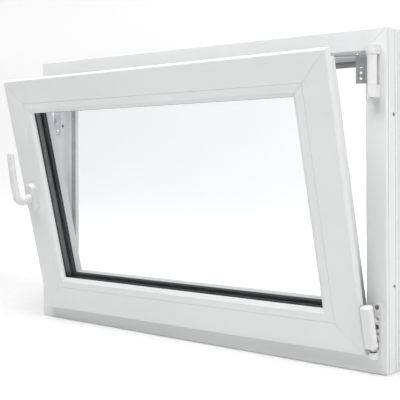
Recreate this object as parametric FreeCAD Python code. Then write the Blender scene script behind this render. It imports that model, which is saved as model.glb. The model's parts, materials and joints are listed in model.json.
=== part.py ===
import FreeCAD, Part
import math
import os

from FreeCAD import Vector

# Tilt-and-turn window, 900 x 600 mm: outer frame, double-glazed sash, lever handle and fittings.
# Own frame: X to the right seen from the room, Y towards the outdoors, Z up.
# The origin is the middle of the frame's underside, half-way through its depth.
# "Depth" below is measured from the frame's room-side face, positive towards the outdoors.
# The sash is drawn closed and then tilted into the room about its lower corner bearings.

# ---------------------------------------------------------------- driving dimensions (mm)
SIDES = ("left", "right", "top", "bottom")
SQRT_TWO = math.sqrt(2.0)

# Outer frame: section, drains and wall fixings.
FRAME_WIDTH = 900.0
FRAME_HEIGHT = 600.0
FRAME_DEPTH = 60.0
FRAME_REBATE_INSET = 40.0
FRAME_LEG_LENGTH = 20.0
FRAME_LEG_DEPTH = 46.5
FRAME_EDGE_RADIUS = 3.0
WALL = 3.0
EDGE_GROOVES = (52.5, 43.5, 33.0, 7.5)
DRAIN_PLACES = (-280.0, 280.0)
FIXING_HOLE_RADIUS = 3.75
FIXING_DEPTH = 28.0
FIXING_HEIGHTS = (150.0, 450.0)
WELD_GROOVE_WIDTH = 0.7
WELD_GROOVE_DEPTH = 0.5

# Sash: section, glass and beads.
OVERLAP = 8.0
SASH_REBATE = 20.0
SASH_FACE_DEPTH = -17.0
SASH_BACK_DEPTH = 43.0
LIP_BACK_DEPTH = -3.0
LIP_RADIUS = 4.0
GLAZING_FLOOR = 57.0
SASH_INNER_EDGE = 77.0
SASH_LEG_DEPTH = 20.0
BEAD_SEAM = 54.2
BEAD_TAB_DEPTH = -12.1
BEAD_BACK_DEPTH = -8.4
BEAD_GAP = 0.2
PANE_THICKNESS = 4.0
PANE_GAP = 12.0
GLASS_FRONT_DEPTH = -5.4
GLASS_EDGE = 62.0
SPACER_EDGE = 65.5
SPACER_WIDTH = 8.0

# Locking fittings in the groove on the sash's edge; places run up the stiles and along the rails.
GROOVE_DEPTH_LOW = 3.0
GROOVE_DEPTH_HIGH = 19.0
GROOVE_BOTTOM = 29.0
HARDWARE_DEPTH = 11.0
FACEPLATE_THICKNESS = 2.5
ROD_WIDTH = 10.0
ROD_THICKNESS = 2.4
ROD_INSET = 23.0
CAM_RADIUS = 4.5
CAM_NECK_RADIUS = 3.0
CAM_TOP_INSET = 13.5
LEFT_CAMS = (145.0, 480.0)
TOP_CAMS = (-205.0,)
BOTTOM_CAMS = (-330.0, 190.0)
ROD_SPANS = {"left": (88.0, 512.0), "top": (-340.0, 150.0), "bottom": (-340.0, 330.0)}
FACEPLATE_SPANS = {"left": (76.0, 524.0), "top": (-380.0, 165.0), "bottom": (-380.0, 352.0)}
CLAW_HALF = 4.6
STRIKER_BASE = 2.4
STRIKER_HALF = 32.0
STRIKER_SCREW_OFFSETS = (-24.0, 24.0)
STRIKER_SCREW_RADIUS = 2.0

# Handle and its gear.
HANDLE_X = -388.5
HANDLE_Z = 300.0
HANDLE_TURN_DEG = 180.0
HANDLE_NECK_RADIUS = 8.5
ROSETTE_WIDTH = 28.0
ROSETTE_HEIGHT = 64.0
ROSETTE_THICKNESS = 12.0
ROSETTE_SCREW_LIFTS = (-21.5, 21.5)
SPINDLE_SIDE = 7.0
LEVER_WIDTH = 19.0
GEAR_MODULE = 0.75
GEAR_TEETH = 16
RACK_HALF = 40.0
RACK_LUG = 8.0
CASE_HALF_LENGTH = 95.0
CASE_INNER_INSET = 46.0
CASE_DEPTHS = (4.0, 18.0)

# Hinge axis, tilt axis and tilt stay.
PIVOT_X = 431.0
PIVOT_DEPTH = -14.5
TILT_AXIS_Z = 36.6
TILT_REST_X = -410.0
TILT_REST_DEPTH = 14.0
TILT_OPEN_DEG = 13.4
STAY_REACH = 250.0
STAY_PIN_RADIUS = 3.0
STAY_PIN_DROP = 18.0
STAY_LOW_Z = 551.0
STAY_THICKNESS = 3.0
STAY_SLOT_WIDTH = 9.0
STAY_POCKET_WIDTH = 13.0
STAY_SLOT_RUN_OUT = 7.0

# Top hinge.
STAY_PLATE_X = (423.0, 439.4)
BEARING_LOW_Z = 478.0
BEARING_HIGH_Z = 570.0
KNUCKLE_LOW_Z = 500.3
KNUCKLE_HIGH_Z = 552.0
HINGE_PIN_RADIUS = 3.5
HINGE_BARREL_RADIUS = 6.5
HINGE_PLATE = 3.0
KNUCKLE_COVER_RADIUS = 8.6
LEAF_X = 403.0
LEAF_THICKNESS = 2.0
LEAF_DEPTHS = (-2.6, -0.6)
STAY_LEAF_Z = (503.3, 549.5)
LEAF_SCREW_HEIGHTS = (512.0, 522.0, 532.0)
STAY_SCREW_HEIGHTS = (509.0, 525.0, 541.0)
FACE_SCREW_RADIUS = 2.1
FACE_SCREW_TIP = 8.0
PLATE_HOLE_GROWTH = 0.1

# Bottom hinge.
PLATE_X = (423.5, 440.5)
PLATE_Z = (29.0, 123.0)
PLATE_HOLES_X = 432.4
PLATE_HOLE_HEIGHTS = (116.0, 95.0, 82.0, 69.8, 57.0, 46.0)
PIVOT_SCREW_HEIGHTS = (116.0, 82.0, 57.0)
BALL_RADIUS = 4.4
BUSH_RADIUS = 5.9
BUSH_Z = (30.5, 40.5)
SOCKET_RADIUS = 7.3
PIN_NECK_RADIUS = 3.0
PIN_RADIUS = 4.5
SLEEVE_Z = (51.5, 121.0)
SLEEVE_RADIUS = 8.0
SLEEVE_SCREW_HEIGHTS = (66.0, 86.0, 106.0)
SLEEVE_SCREW_RADIUS = 2.0
CAP_HALF = 9.6

# ---------------------------------------------------------------- sizes that follow
ROOM_Y = -FRAME_DEPTH / 2.0
FRAME_HALF = FRAME_WIDTH / 2.0
FRAME_LIMITS = (FRAME_HALF, 0.0, FRAME_HEIGHT)
SASH_MARGIN = FRAME_REBATE_INSET - OVERLAP
SASH_HALF = FRAME_HALF - SASH_MARGIN
SASH_HIGH = FRAME_HEIGHT - SASH_MARGIN
SASH_LIMITS = (SASH_HALF, SASH_MARGIN, SASH_HIGH)
PANE_DEPTHS = (GLASS_FRONT_DEPTH, GLASS_FRONT_DEPTH + PANE_THICKNESS + PANE_GAP)
GLASS_BACK_DEPTH = PANE_DEPTHS[1] + PANE_THICKNESS
GEAR_RADIUS = GEAR_MODULE * GEAR_TEETH / 2.0
ROD_TRAVEL = GEAR_RADIUS * math.radians(HANDLE_TURN_DEG)
CAM_PLACES = {"left": LEFT_CAMS, "top": TOP_CAMS, "bottom": BOTTOM_CAMS}
# Rod travel from tilt to locked, along each side's place axis.
TRAVEL = {"left": -ROD_TRAVEL, "top": -ROD_TRAVEL, "bottom": ROD_TRAVEL}
TILT_CAM = BOTTOM_CAMS[0]
STRIKER_CAMS = (("left", LEFT_CAMS[0]), ("left", LEFT_CAMS[1]), ("top", TOP_CAMS[0]),
                ("bottom", BOTTOM_CAMS[1]))
STRIKER_SCREW_TIP = FRAME_REBATE_INSET - WALL - 1.5
STRIKER_SEAT = FRAME_REBATE_INSET + STRIKER_BASE
SLEEVE_LEAF_Z = (SLEEVE_Z[0] + 4.0, SLEEVE_Z[1] - 4.0)
SLEEVE_SCREW_TIP = GROOVE_BOTTOM + 5.0
LEAF_RIVETS = ((LEAF_X + 3.0, 4.6), (LEAF_X + 3.0, 12.2))


# ---------------------------------------------------------------- drawing helpers
def at(x, depth, z):
    """Point from left-right place, depth behind the frame's room face, and height."""
    return Vector(x, ROOM_Y + depth, z)


def block(x0, x1, d0, d1, z0, z1):
    """Box between two places on each axis, in depth coordinates."""
    return Part.makeBox(x1 - x0, d1 - d0, z1 - z0, at(x0, d0, z0))


def rod(start, end, radius):
    """Round bar between two points."""
    along = end.sub(start)
    return Part.makeCylinder(radius, along.Length, start, along)


def cone(start, end, radius_start, radius_end):
    """Tapered round bar between two points."""
    along = end.sub(start)
    return Part.makeCone(radius_start, radius_end, along.Length, start, along)


def closed_wire(corners, place):
    """Closed outline: each corner is (u, v) or (u, v, radius), and place() puts u, v in space."""
    edges = []
    count = len(corners)
    ends = []
    for index in range(count):
        here = corners[index]
        radius = here[2] if len(here) > 2 else 0.0
        point = Vector(here[0], here[1], 0)
        if radius == 0.0:
            ends.append((point, None, point))
            continue
        before = Vector(corners[index - 1][0], corners[index - 1][1], 0).sub(point).normalize()
        nxt = corners[(index + 1) % count]
        after = Vector(nxt[0], nxt[1], 0).sub(point).normalize()
        half = before.getAngle(after) / 2.0
        reach = radius / math.tan(half)
        bisector = before.add(after).normalize()
        centre = point.add(bisector.multiply(radius / math.sin(half)))
        middle = centre.add(point.sub(centre).normalize().multiply(radius))
        first = point.add(before.multiply(reach))
        last = point.add(after.multiply(reach))
        ends.append((first, middle, last))
    for index in range(count):
        first, middle, last = ends[index]
        if middle is not None:
            arc = Part.Arc(place(first.x, first.y), place(middle.x, middle.y), place(last.x, last.y))
            edges.append(arc.toShape())
        following = ends[(index + 1) % count][0]
        if last.sub(following).Length > 1e-6:
            edges.append(Part.makeLine(place(last.x, last.y), place(following.x, following.y)))
    return Part.Wire(edges)


def prism(corners, place, along, holes=()):
    """Solid drawn from an outline, with round-cornered or square holes, pushed along a vector."""
    wires = [closed_wire(corners, place)]
    for hole in holes:
        wires.append(closed_wire(hole, place))
    return Part.makeFace(wires, "Part::FaceMakerBullseye").extrude(along)


def rectangle(u0, u1, v0, v1, radius=0.0):
    """Outline of a rectangle with equal corner radii."""
    return [(u0, v0, radius), (u1, v0, radius), (u1, v1, radius), (u0, v1, radius)]


def side_bar(side, limits, corners, holes=()):
    """Straight bar with a given section on one side of a rectangle.

    limits is (half width, lowest z, highest z); the section is drawn as (inset, depth),
    where inset is measured inwards from the rectangle's outer edge.
    """
    half, low, high = limits
    if side == "left":
        return prism(corners, lambda u, v: at(-half + u, v, low), Vector(0, 0, high - low), holes)
    if side == "right":
        return prism(corners, lambda u, v: at(half - u, v, low), Vector(0, 0, high - low), holes)
    if side == "top":
        return prism(corners, lambda u, v: at(-half, v, high - u), Vector(2 * half, 0, 0), holes)
    return prism(corners, lambda u, v: at(-half, v, low + u), Vector(2 * half, 0, 0), holes)


def mitre_region(side, limits):
    """Solid that keeps one side of a rectangle up to its 45-degree corner joints."""
    half, low, high = limits
    reach = 100.0
    inner, inner_low, inner_high = half - reach, low + reach, high - reach
    corner_points = {
        "left": ((-half, low), (-half, high), (-inner, inner_high), (-inner, inner_low)),
        "right": ((half, low), (half, high), (inner, inner_high), (inner, inner_low)),
        "top": ((-half, high), (half, high), (inner, inner_high), (-inner, inner_high)),
        "bottom": ((-half, low), (half, low), (inner, inner_low), (-inner, inner_low)),
    }
    front, back = -80.0, 120.0
    return prism(corner_points[side], lambda u, v: at(u, front, v), Vector(0, back - front, 0))


def mitred_bar(side, limits, corners, holes=()):
    """One side of a welded or mitred rectangular ring."""
    return side_bar(side, limits, corners, holes).common(mitre_region(side, limits))


def ring(limits, corners):
    """Four mitred bars as one group of solids."""
    return Part.makeCompound([mitred_bar(side, limits, corners) for side in SIDES])


def corner_slits(limits, insets, depths, width):
    """Four narrow boxes along the corner mitres, between two insets and two depths."""
    half, low, high = limits
    slits = []
    for x, z, turn in ((-half, low, 45.0), (half, low, 135.0), (half, high, 225.0), (-half, high, 315.0)):
        slit = block(insets[0] * SQRT_TWO, insets[1] * SQRT_TWO, depths[0], depths[1], -width / 2.0,
                     width / 2.0)
        slit.rotate(at(0, 0, 0), Vector(0, -1, 0), turn)
        slit.translate(Vector(x, 0, z))
        slits.append(slit)
    return Part.makeCompound(slits)


def on_side(side, limits, inset, place, depth):
    """Point on one side of a rectangle: place runs up the stiles and along the rails."""
    half, low, high = limits
    if side == "left":
        return at(-half + inset, depth, place)
    if side == "right":
        return at(half - inset, depth, place)
    if side == "top":
        return at(place, depth, high - inset)
    return at(place, depth, low + inset)


def side_block(side, limits, insets, depths, places):
    """Box on one side of a rectangle, between two insets, depths and places along the side."""
    a = on_side(side, limits, insets[0], places[0], depths[0])
    b = on_side(side, limits, insets[1], places[1], depths[1])
    low = Vector(min(a.x, b.x), min(a.y, b.y), min(a.z, b.z))
    high = Vector(max(a.x, b.x), max(a.y, b.y), max(a.z, b.z))
    return Part.makeBox(high.x - low.x, high.y - low.y, high.z - low.z, low)


def save(name, shape):
    """Write one sub-part to its STEP file."""
    shape.exportStep("parts/" + name + ".step")


# ---------------------------------------------------------------- outer frame
def frame_section():
    """Hollow L-shaped outer-frame section with clip grooves along its outer edge."""
    groove_depth = 1.5
    groove_half = 1.0
    leg_tip = FRAME_REBATE_INSET + FRAME_LEG_LENGTH
    corners = [
        (0, 0, 1.5), (FRAME_REBATE_INSET, 0, FRAME_EDGE_RADIUS),
        (FRAME_REBATE_INSET, FRAME_LEG_DEPTH, 1.0), (leg_tip, FRAME_LEG_DEPTH, 1.0),
        (leg_tip, FRAME_DEPTH, 1.5), (0, FRAME_DEPTH, 1.5),
    ]
    for groove in EDGE_GROOVES:
        corners += [
            (0, groove + groove_half), (groove_depth, groove + groove_half),
            (groove_depth, groove - groove_half), (0, groove - groove_half),
        ]
    holes = [
        rectangle(WALL, FRAME_REBATE_INSET - WALL, WALL, 10.5, 1.0),
        rectangle(WALL, FRAME_REBATE_INSET - WALL, 12.5, 43.0, 1.0),
        rectangle(WALL, 28.0, 45.5, FRAME_DEPTH - WALL, 1.0),
        rectangle(30.0, leg_tip - WALL, FRAME_LEG_DEPTH + WALL, FRAME_DEPTH - WALL, 1.0),
    ]
    return corners, holes


def fixing_holes(side, from_inset, to_inset):
    """Round holes for the wall screws through one jamb."""
    drills = []
    for height in FIXING_HEIGHTS:
        start = on_side(side, FRAME_LIMITS, from_inset, height, FIXING_DEPTH)
        end = on_side(side, FRAME_LIMITS, to_inset, height, FIXING_DEPTH)
        drills.append(rod(start, end, FIXING_HOLE_RADIUS))
    return Part.makeCompound(drills)


def frame_bar(side):
    """One side of the outer frame with its fixing holes or water drains."""
    corners, holes = frame_section()
    bar = mitred_bar(side, FRAME_LIMITS, corners, holes)
    bar = bar.cut(corner_slits(FRAME_LIMITS, (0.0, FRAME_REBATE_INSET), (-1.0, WELD_GROOVE_DEPTH),
                               WELD_GROOVE_WIDTH))
    for spot in striker_screw_places(side):
        start = on_side(side, FRAME_LIMITS, STRIKER_SCREW_TIP, spot, HARDWARE_DEPTH)
        end = on_side(side, FRAME_LIMITS, FRAME_REBATE_INSET + 1.0, spot, HARDWARE_DEPTH)
        bar = bar.cut(rod(start, end, STRIKER_SCREW_RADIUS))
    if side in ("left", "right"):
        bar = bar.cut(fixing_holes(side, -1.0, FRAME_REBATE_INSET + 1.0))
    if side == "right":
        for x, height in face_screw_places():
            start = at(x, -1.0, height)
            bar = bar.cut(rod(start, at(x, FACE_SCREW_TIP, height), FACE_SCREW_RADIUS))
    if side == "bottom":
        for place in DRAIN_PLACES:
            slot = block(place - 13.0, place + 13.0, FRAME_DEPTH - 4.0, FRAME_DEPTH + 1.0, 14.0, 19.0)
            inlet = block(place - 60.0, place - 34.0, 33.0, 38.0, FRAME_REBATE_INSET - 4.0,
                          FRAME_REBATE_INSET + 1.0)
            bar = bar.cut(slot).cut(inlet)
    return bar


def frame_reinforcement():
    """Galvanised steel tubes in the main chamber of each frame bar."""
    tubes = []
    outer = rectangle(5.0, 35.0, 14.0, 41.5, 2.0)
    inner = rectangle(6.5, 33.5, 15.5, 40.0, 0.8)
    for side in SIDES:
        half, low, high = FRAME_LIMITS
        shorter = 62.0
        if side in ("left", "right"):
            limits = (half, low + shorter, high - shorter)
            tube = side_bar(side, limits, outer, [inner])
            tube = tube.cut(fixing_holes(side, -1.0, FRAME_REBATE_INSET + 1.0))
        else:
            tube = side_bar(side, FRAME_LIMITS, outer, [inner])
            keep = block(-half + shorter, half - shorter, 0.0, FRAME_DEPTH, low, high)
            tube = tube.common(keep)
        tubes.append(tube)
    return Part.makeCompound(tubes)


def frame_gasket():
    """Stop seal on the leg, facing the closed sash's back."""
    tip = FRAME_REBATE_INSET + FRAME_LEG_LENGTH
    corners = [
        (tip - 10.0, FRAME_LEG_DEPTH), (tip - 9.0, FRAME_LEG_DEPTH - 1.2),
        (tip - 5.0, SASH_BACK_DEPTH + 0.3, 0.6), (tip - 1.0, FRAME_LEG_DEPTH - 2.2, 0.6),
        (tip + 1.2, FRAME_LEG_DEPTH - 1.2), (tip + 1.2, FRAME_LEG_DEPTH + 2.0),
        (tip + 0.2, FRAME_LEG_DEPTH + 2.0), (tip + 0.2, FRAME_LEG_DEPTH),
    ]
    return ring(FRAME_LIMITS, corners)


def drain_caps():
    """Cover caps over the drain slots on the outdoor face."""
    caps = []
    for place in DRAIN_PLACES:
        face = rectangle(place - 20.0, place + 20.0, 9.0, 24.0, 4.0)
        shell = prism(face, lambda u, v: at(u, FRAME_DEPTH, v), Vector(0, 5.0, 0))
        mouth = block(place - 14.0, place + 14.0, FRAME_DEPTH - 1.0, FRAME_DEPTH + 3.4, 8.0, 20.0)
        caps.append(shell.cut(mouth))
    return Part.makeCompound(caps)


# ---------------------------------------------------------------- sash
def sash_section():
    """Hollow Z-shaped sash section with the fittings groove on its outer edge."""
    corners = [
        (0, SASH_FACE_DEPTH, LIP_RADIUS), (BEAD_SEAM, SASH_FACE_DEPTH, 0.5), (BEAD_SEAM, -12.0),
        (GLAZING_FLOOR, -12.0), (GLAZING_FLOOR, SASH_LEG_DEPTH),
        (SASH_INNER_EDGE, SASH_LEG_DEPTH, 0.8), (SASH_INNER_EDGE, SASH_BACK_DEPTH, 1.5),
        (SASH_REBATE, SASH_BACK_DEPTH, 1.5),
        (SASH_REBATE, GROOVE_DEPTH_HIGH), (GROOVE_BOTTOM, GROOVE_DEPTH_HIGH),
        (GROOVE_BOTTOM, GROOVE_DEPTH_LOW), (SASH_REBATE, GROOVE_DEPTH_LOW),
        (SASH_REBATE, LIP_BACK_DEPTH), (0, LIP_BACK_DEPTH, 1.0),
    ]
    front = SASH_FACE_DEPTH + WALL
    back = SASH_BACK_DEPTH - WALL
    holes = [
        rectangle(5.0, SASH_REBATE - 1.0, front, LIP_BACK_DEPTH - WALL, 1.0),
        rectangle(SASH_REBATE + WALL, 51.0, front, 0.0, 1.0),
        rectangle(GROOVE_BOTTOM + WALL, GLAZING_FLOOR - WALL, 2.0, 19.5, 1.0),
        rectangle(SASH_REBATE + WALL, GLAZING_FLOOR - WALL, 22.0, back, 1.0),
        rectangle(GLAZING_FLOOR, SASH_INNER_EDGE - WALL, SASH_LEG_DEPTH + WALL, back, 1.0),
    ]
    return corners, holes


def sash_bar(side):
    """One side of the sash with its cut-outs for the fittings."""
    corners, holes = sash_section()
    bar = mitred_bar(side, SASH_LIMITS, corners, holes)
    bar = bar.cut(corner_slits(SASH_LIMITS, (0.0, BEAD_SEAM), (SASH_FACE_DEPTH - 1.0,
                               SASH_FACE_DEPTH + WELD_GROOVE_DEPTH), WELD_GROOVE_WIDTH))
    if side == "left":
        places = (HANDLE_Z - CASE_HALF_LENGTH - 1.0, HANDLE_Z + CASE_HALF_LENGTH + 1.0)
        pocket = side_block(side, SASH_LIMITS, (GROOVE_BOTTOM - 1.0, CASE_INNER_INSET + 0.5),
                            (CASE_DEPTHS[0] - 0.5, CASE_DEPTHS[1] + 0.5), places)
        outside = at(HANDLE_X, SASH_FACE_DEPTH - 1.0, HANDLE_Z)
        bore = rod(outside, at(HANDLE_X, CASE_DEPTHS[0], HANDLE_Z), 6.5)
        bar = bar.cut(pocket).cut(bore)
        for lift in ROSETTE_SCREW_LIFTS:
            start = at(HANDLE_X, SASH_FACE_DEPTH - 1.0, HANDLE_Z + lift)
            bar = bar.cut(rod(start, at(HANDLE_X, 3.5, HANDLE_Z + lift), 2.6))
    if side == "right":
        for height in SLEEVE_SCREW_HEIGHTS:
            start = on_side(side, SASH_LIMITS, GROOVE_BOTTOM - 1.0, height, HARDWARE_DEPTH)
            end = on_side(side, SASH_LIMITS, SLEEVE_SCREW_TIP, height, HARDWARE_DEPTH)
            bar = bar.cut(rod(start, end, SLEEVE_SCREW_RADIUS))
    if side == "top":
        low_x, high_x = stay_slot_span()
        half_slot = STAY_POCKET_WIDTH / 2.0
        depths = (HARDWARE_DEPTH - half_slot, HARDWARE_DEPTH + half_slot)
        bar = bar.cut(side_block(side, SASH_LIMITS, (GROOVE_BOTTOM - 1.0, GROOVE_BOTTOM + 6.0), depths,
                                 (low_x, high_x)))
    return bar


def sash_reinforcement():
    """Steel tubes in the outdoor chamber of each sash bar."""
    outer = rectangle(25.0, 52.0, 23.5, 38.5, 2.0)
    inner = rectangle(26.5, 50.5, 25.0, 37.0, 0.8)
    shorter = 56.0
    tubes = []
    for side in SIDES:
        half, low, high = SASH_LIMITS
        tube = side_bar(side, SASH_LIMITS, outer, [inner])
        if side in ("left", "right"):
            keep = block(-half, half, 0.0, 60.0, low + shorter, high - shorter)
        else:
            keep = block(-half + shorter, half - shorter, 0.0, 60.0, low, high)
        tubes.append(tube.common(keep))
    return Part.makeCompound(tubes)


def sash_gasket():
    """Seal on the back of the sash's overlapping lip."""
    corners = [
        (3.0, LIP_BACK_DEPTH), (3.4, -1.5, 0.5), (5.5, -1.0, 0.5), (8.0, -1.6, 0.4), (8.4, LIP_BACK_DEPTH),
    ]
    seal = ring(SASH_LIMITS, corners)
    for low, high in (STAY_LEAF_Z, SLEEVE_LEAF_Z):
        seal = seal.cut(side_block("right", SASH_LIMITS, (0.0, 12.0), (LIP_BACK_DEPTH - 1.0, 1.0),
                                   (low - 2.0, high + 2.0)))
    return seal


def glazing_bead(side):
    """Room-side bead that holds the glass, with its sloping inner edge."""
    corners = [
        (BEAD_SEAM + BEAD_GAP, SASH_FACE_DEPTH, 0.8), (69.5, SASH_FACE_DEPTH, 3.0),
        (SASH_INNER_EDGE, -12.5, 1.0), (SASH_INNER_EDGE, BEAD_BACK_DEPTH),
        (GLAZING_FLOOR + BEAD_GAP, BEAD_BACK_DEPTH), (GLAZING_FLOOR + BEAD_GAP, BEAD_TAB_DEPTH),
        (BEAD_SEAM + BEAD_GAP, BEAD_TAB_DEPTH),
    ]
    slits = corner_slits(SASH_LIMITS, (BEAD_SEAM - 1.0, SASH_INNER_EDGE + 1.0),
                         (SASH_FACE_DEPTH - 1.0, BEAD_BACK_DEPTH + 1.0), BEAD_GAP)
    return mitred_bar(side, SASH_LIMITS, corners).cut(slits)


def pane(depth):
    """One sheet of glass."""
    half, low, high = SASH_LIMITS
    return block(-half + GLASS_EDGE, half - GLASS_EDGE, depth, depth + PANE_THICKNESS,
                 low + GLASS_EDGE, high - GLASS_EDGE)


def glass_spacer():
    """Aluminium spacer bar between the panes."""
    front = PANE_DEPTHS[0] + PANE_THICKNESS
    return ring(SASH_LIMITS, rectangle(SPACER_EDGE, SPACER_EDGE + SPACER_WIDTH, front, front + PANE_GAP))


def glass_edge_seal():
    """Dark sealant outside the spacer bar."""
    front = PANE_DEPTHS[0] + PANE_THICKNESS
    return ring(SASH_LIMITS, rectangle(GLASS_EDGE, SPACER_EDGE, front, front + PANE_GAP))


def inner_glass_gasket():
    """Seal between the beads and the room-side pane."""
    corners = [
        (70.0, BEAD_BACK_DEPTH), (77.4, BEAD_BACK_DEPTH), (78.2, -7.4, 0.4), (78.4, GLASS_FRONT_DEPTH),
        (70.0, GLASS_FRONT_DEPTH),
    ]
    return ring(SASH_LIMITS, corners)


def outer_glass_gasket():
    """Seal between the outdoor pane and the sash's leg, wrapping the leg's tip."""
    tip = SASH_INNER_EDGE
    corners = [
        (69.0, GLASS_BACK_DEPTH), (tip + 1.6, GLASS_BACK_DEPTH), (tip + 1.6, 24.0, 0.6),
        (tip + 0.1, 24.0), (tip + 0.1, SASH_LEG_DEPTH), (69.0, SASH_LEG_DEPTH),
    ]
    return ring(SASH_LIMITS, corners)


def glazing_blocks():
    """Plastic packers between the glass edge and the sash."""
    blocks = []
    gap = (GLAZING_FLOOR + 0.1, GLASS_EDGE - 0.1)
    depths = (GLASS_FRONT_DEPTH, GLASS_BACK_DEPTH)
    for side, places in (("bottom", (-260.0, 260.0)), ("top", (-260.0, 260.0)),
                         ("left", (170.0, 430.0)), ("right", (170.0, 430.0))):
        for place in places:
            blocks.append(side_block(side, SASH_LIMITS, gap, depths, (place - 40.0, place + 40.0)))
    return Part.makeCompound(blocks)


# ---------------------------------------------------------------- locking fittings
def cam_sweep(side, place):
    """Lowest and highest place that one cam reaches."""
    other = place + TRAVEL[side]
    return min(place, other), max(place, other)


def faceplate(side):
    """Steel cover strip on the fittings groove, slotted for its cams."""
    insets = (SASH_REBATE, SASH_REBATE + FACEPLATE_THICKNESS)
    strip = side_block(side, SASH_LIMITS, insets, (GROOVE_DEPTH_LOW + 0.2, GROOVE_DEPTH_HIGH - 0.2),
                       FACEPLATE_SPANS[side])
    half_slot = CAM_NECK_RADIUS + 0.5
    for place in CAM_PLACES[side]:
        low, high = cam_sweep(side, place)
        slot = side_block(side, SASH_LIMITS, (insets[0] - 1.0, insets[1] + 1.0),
                          (HARDWARE_DEPTH - half_slot, HARDWARE_DEPTH + half_slot),
                          (low - half_slot, high + half_slot))
        strip = strip.cut(slot)
    return strip


def faceplates():
    """All cover strips."""
    return Part.makeCompound([faceplate(side) for side in CAM_PLACES])


def drive_rod(side):
    """Flat sliding rod under the cover strip."""
    depths = (HARDWARE_DEPTH - ROD_WIDTH / 2.0, HARDWARE_DEPTH + ROD_WIDTH / 2.0)
    insets = (ROD_INSET, ROD_INSET + ROD_THICKNESS)
    bar = side_block(side, SASH_LIMITS, insets, depths, ROD_SPANS[side])
    if side == "left":
        rack_span = (HANDLE_Z - RACK_HALF, HANDLE_Z + RACK_HALF)
        gap = side_block(side, SASH_LIMITS, (insets[0] - 1.0, insets[1] + 1.0),
                         (depths[0] - 1.0, depths[1] + 1.0), rack_span)
        bar = bar.cut(gap)
    return bar


def cams(side):
    """Locking mushrooms riveted to one rod."""
    studs = []
    for place in CAM_PLACES[side]:
        root = on_side(side, SASH_LIMITS, ROD_INSET, place, HARDWARE_DEPTH)
        shoulder = on_side(side, SASH_LIMITS, SASH_REBATE - 0.4, place, HARDWARE_DEPTH)
        rim = on_side(side, SASH_LIMITS, CAM_TOP_INSET + 1.0, place, HARDWARE_DEPTH)
        top = on_side(side, SASH_LIMITS, CAM_TOP_INSET, place, HARDWARE_DEPTH)
        stud = rod(root, shoulder, CAM_NECK_RADIUS)
        head = rod(shoulder, rim, CAM_RADIUS)
        crown = cone(rim, top, CAM_RADIUS, CAM_RADIUS - 1.0)
        studs.append(stud.fuse([head, crown]).removeSplitter())
    return Part.makeCompound(studs)


def corner_drives():
    """Angle pieces that lead the drive round the two left corners."""
    pieces = []
    half, low, high = SASH_LIMITS
    front = GROOVE_DEPTH_LOW + 0.4
    width = GROOVE_DEPTH_HIGH - 0.4 - front
    outer_x = -half + SASH_REBATE
    inner_x = outer_x + FACEPLATE_THICKNESS
    end_x = FACEPLATE_SPANS["top"][0]
    for corner_z, end_z, upward in ((low, FACEPLATE_SPANS["left"][0], -1.0),
                                    (high, FACEPLATE_SPANS["left"][1], 1.0)):
        outer_z = corner_z - upward * SASH_REBATE
        inner_z = outer_z - upward * FACEPLATE_THICKNESS
        outline = [(outer_x, end_z), (outer_x, outer_z), (end_x, outer_z), (end_x, inner_z),
                   (inner_x, inner_z), (inner_x, end_z)]
        pieces.append(prism(outline, lambda u, v: at(u, front, v), Vector(0, width, 0)))
    return Part.makeCompound(pieces)


def striker(side, place):
    """Frame keep: a base plate with a claw that stands in front of the locked cam."""
    locked = place + TRAVEL[side]
    base = side_block(side, FRAME_LIMITS, (FRAME_REBATE_INSET, STRIKER_SEAT), (1.5, 19.5),
                      (locked - STRIKER_HALF, locked + STRIKER_HALF))
    wall = side_block(side, FRAME_LIMITS, (STRIKER_SEAT, FRAME_REBATE_INSET + 8.0), (1.5, 6.0),
                      (locked - CLAW_HALF, locked + CLAW_HALF))
    body = base.fuse(wall).removeSplitter()
    for offset in STRIKER_SCREW_OFFSETS:
        start = on_side(side, FRAME_LIMITS, FRAME_REBATE_INSET - 1.0, locked + offset, HARDWARE_DEPTH)
        end = on_side(side, FRAME_LIMITS, STRIKER_SEAT + 1.0, locked + offset, HARDWARE_DEPTH)
        body = body.cut(rod(start, end, STRIKER_SCREW_RADIUS))
    return body


def lock_strikers():
    """All locking keeps on the frame."""
    return Part.makeCompound([striker(side, place) for side, place in STRIKER_CAMS])


def striker_screw_places(side):
    """Places along one side of the frame where its locking keeps are screwed on."""
    return [place + TRAVEL[side] + offset for name, place in STRIKER_CAMS if name == side
            for offset in STRIKER_SCREW_OFFSETS]


def striker_screws():
    """Screws of the locking keeps, sunk into the frame's rebate."""
    screws = []
    for side in CAM_PLACES:
        for spot in striker_screw_places(side):
            tip = on_side(side, FRAME_LIMITS, STRIKER_SCREW_TIP, spot, HARDWARE_DEPTH)
            seat = on_side(side, FRAME_LIMITS, STRIKER_SEAT, spot, HARDWARE_DEPTH)
            top = on_side(side, FRAME_LIMITS, STRIKER_SEAT + 1.2, spot, HARDWARE_DEPTH)
            shank = rod(tip, seat, STRIKER_SCREW_RADIUS)
            screws.append(shank.fuse(cone(seat, top, 3.6, 2.6)))
    return Part.makeCompound(screws)


def tilt_striker():
    """Lower keep that carries the cam about which the sash tilts."""
    base = side_block("bottom", FRAME_LIMITS, (FRAME_REBATE_INSET, STRIKER_SEAT), (1.5, 24.0),
                      (TILT_CAM - 34.0, TILT_CAM + 34.0))
    walls = (STRIKER_SEAT, FRAME_REBATE_INSET + 7.0)
    front = side_block("bottom", FRAME_LIMITS, walls, (0.8, 3.4), (TILT_CAM - 8.0, TILT_CAM + 4.4))
    rear = side_block("bottom", FRAME_LIMITS, walls, (18.5, 24.0), (TILT_CAM - 20.0, TILT_CAM + 20.0))
    return base.fuse([front, rear]).removeSplitter()


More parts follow.
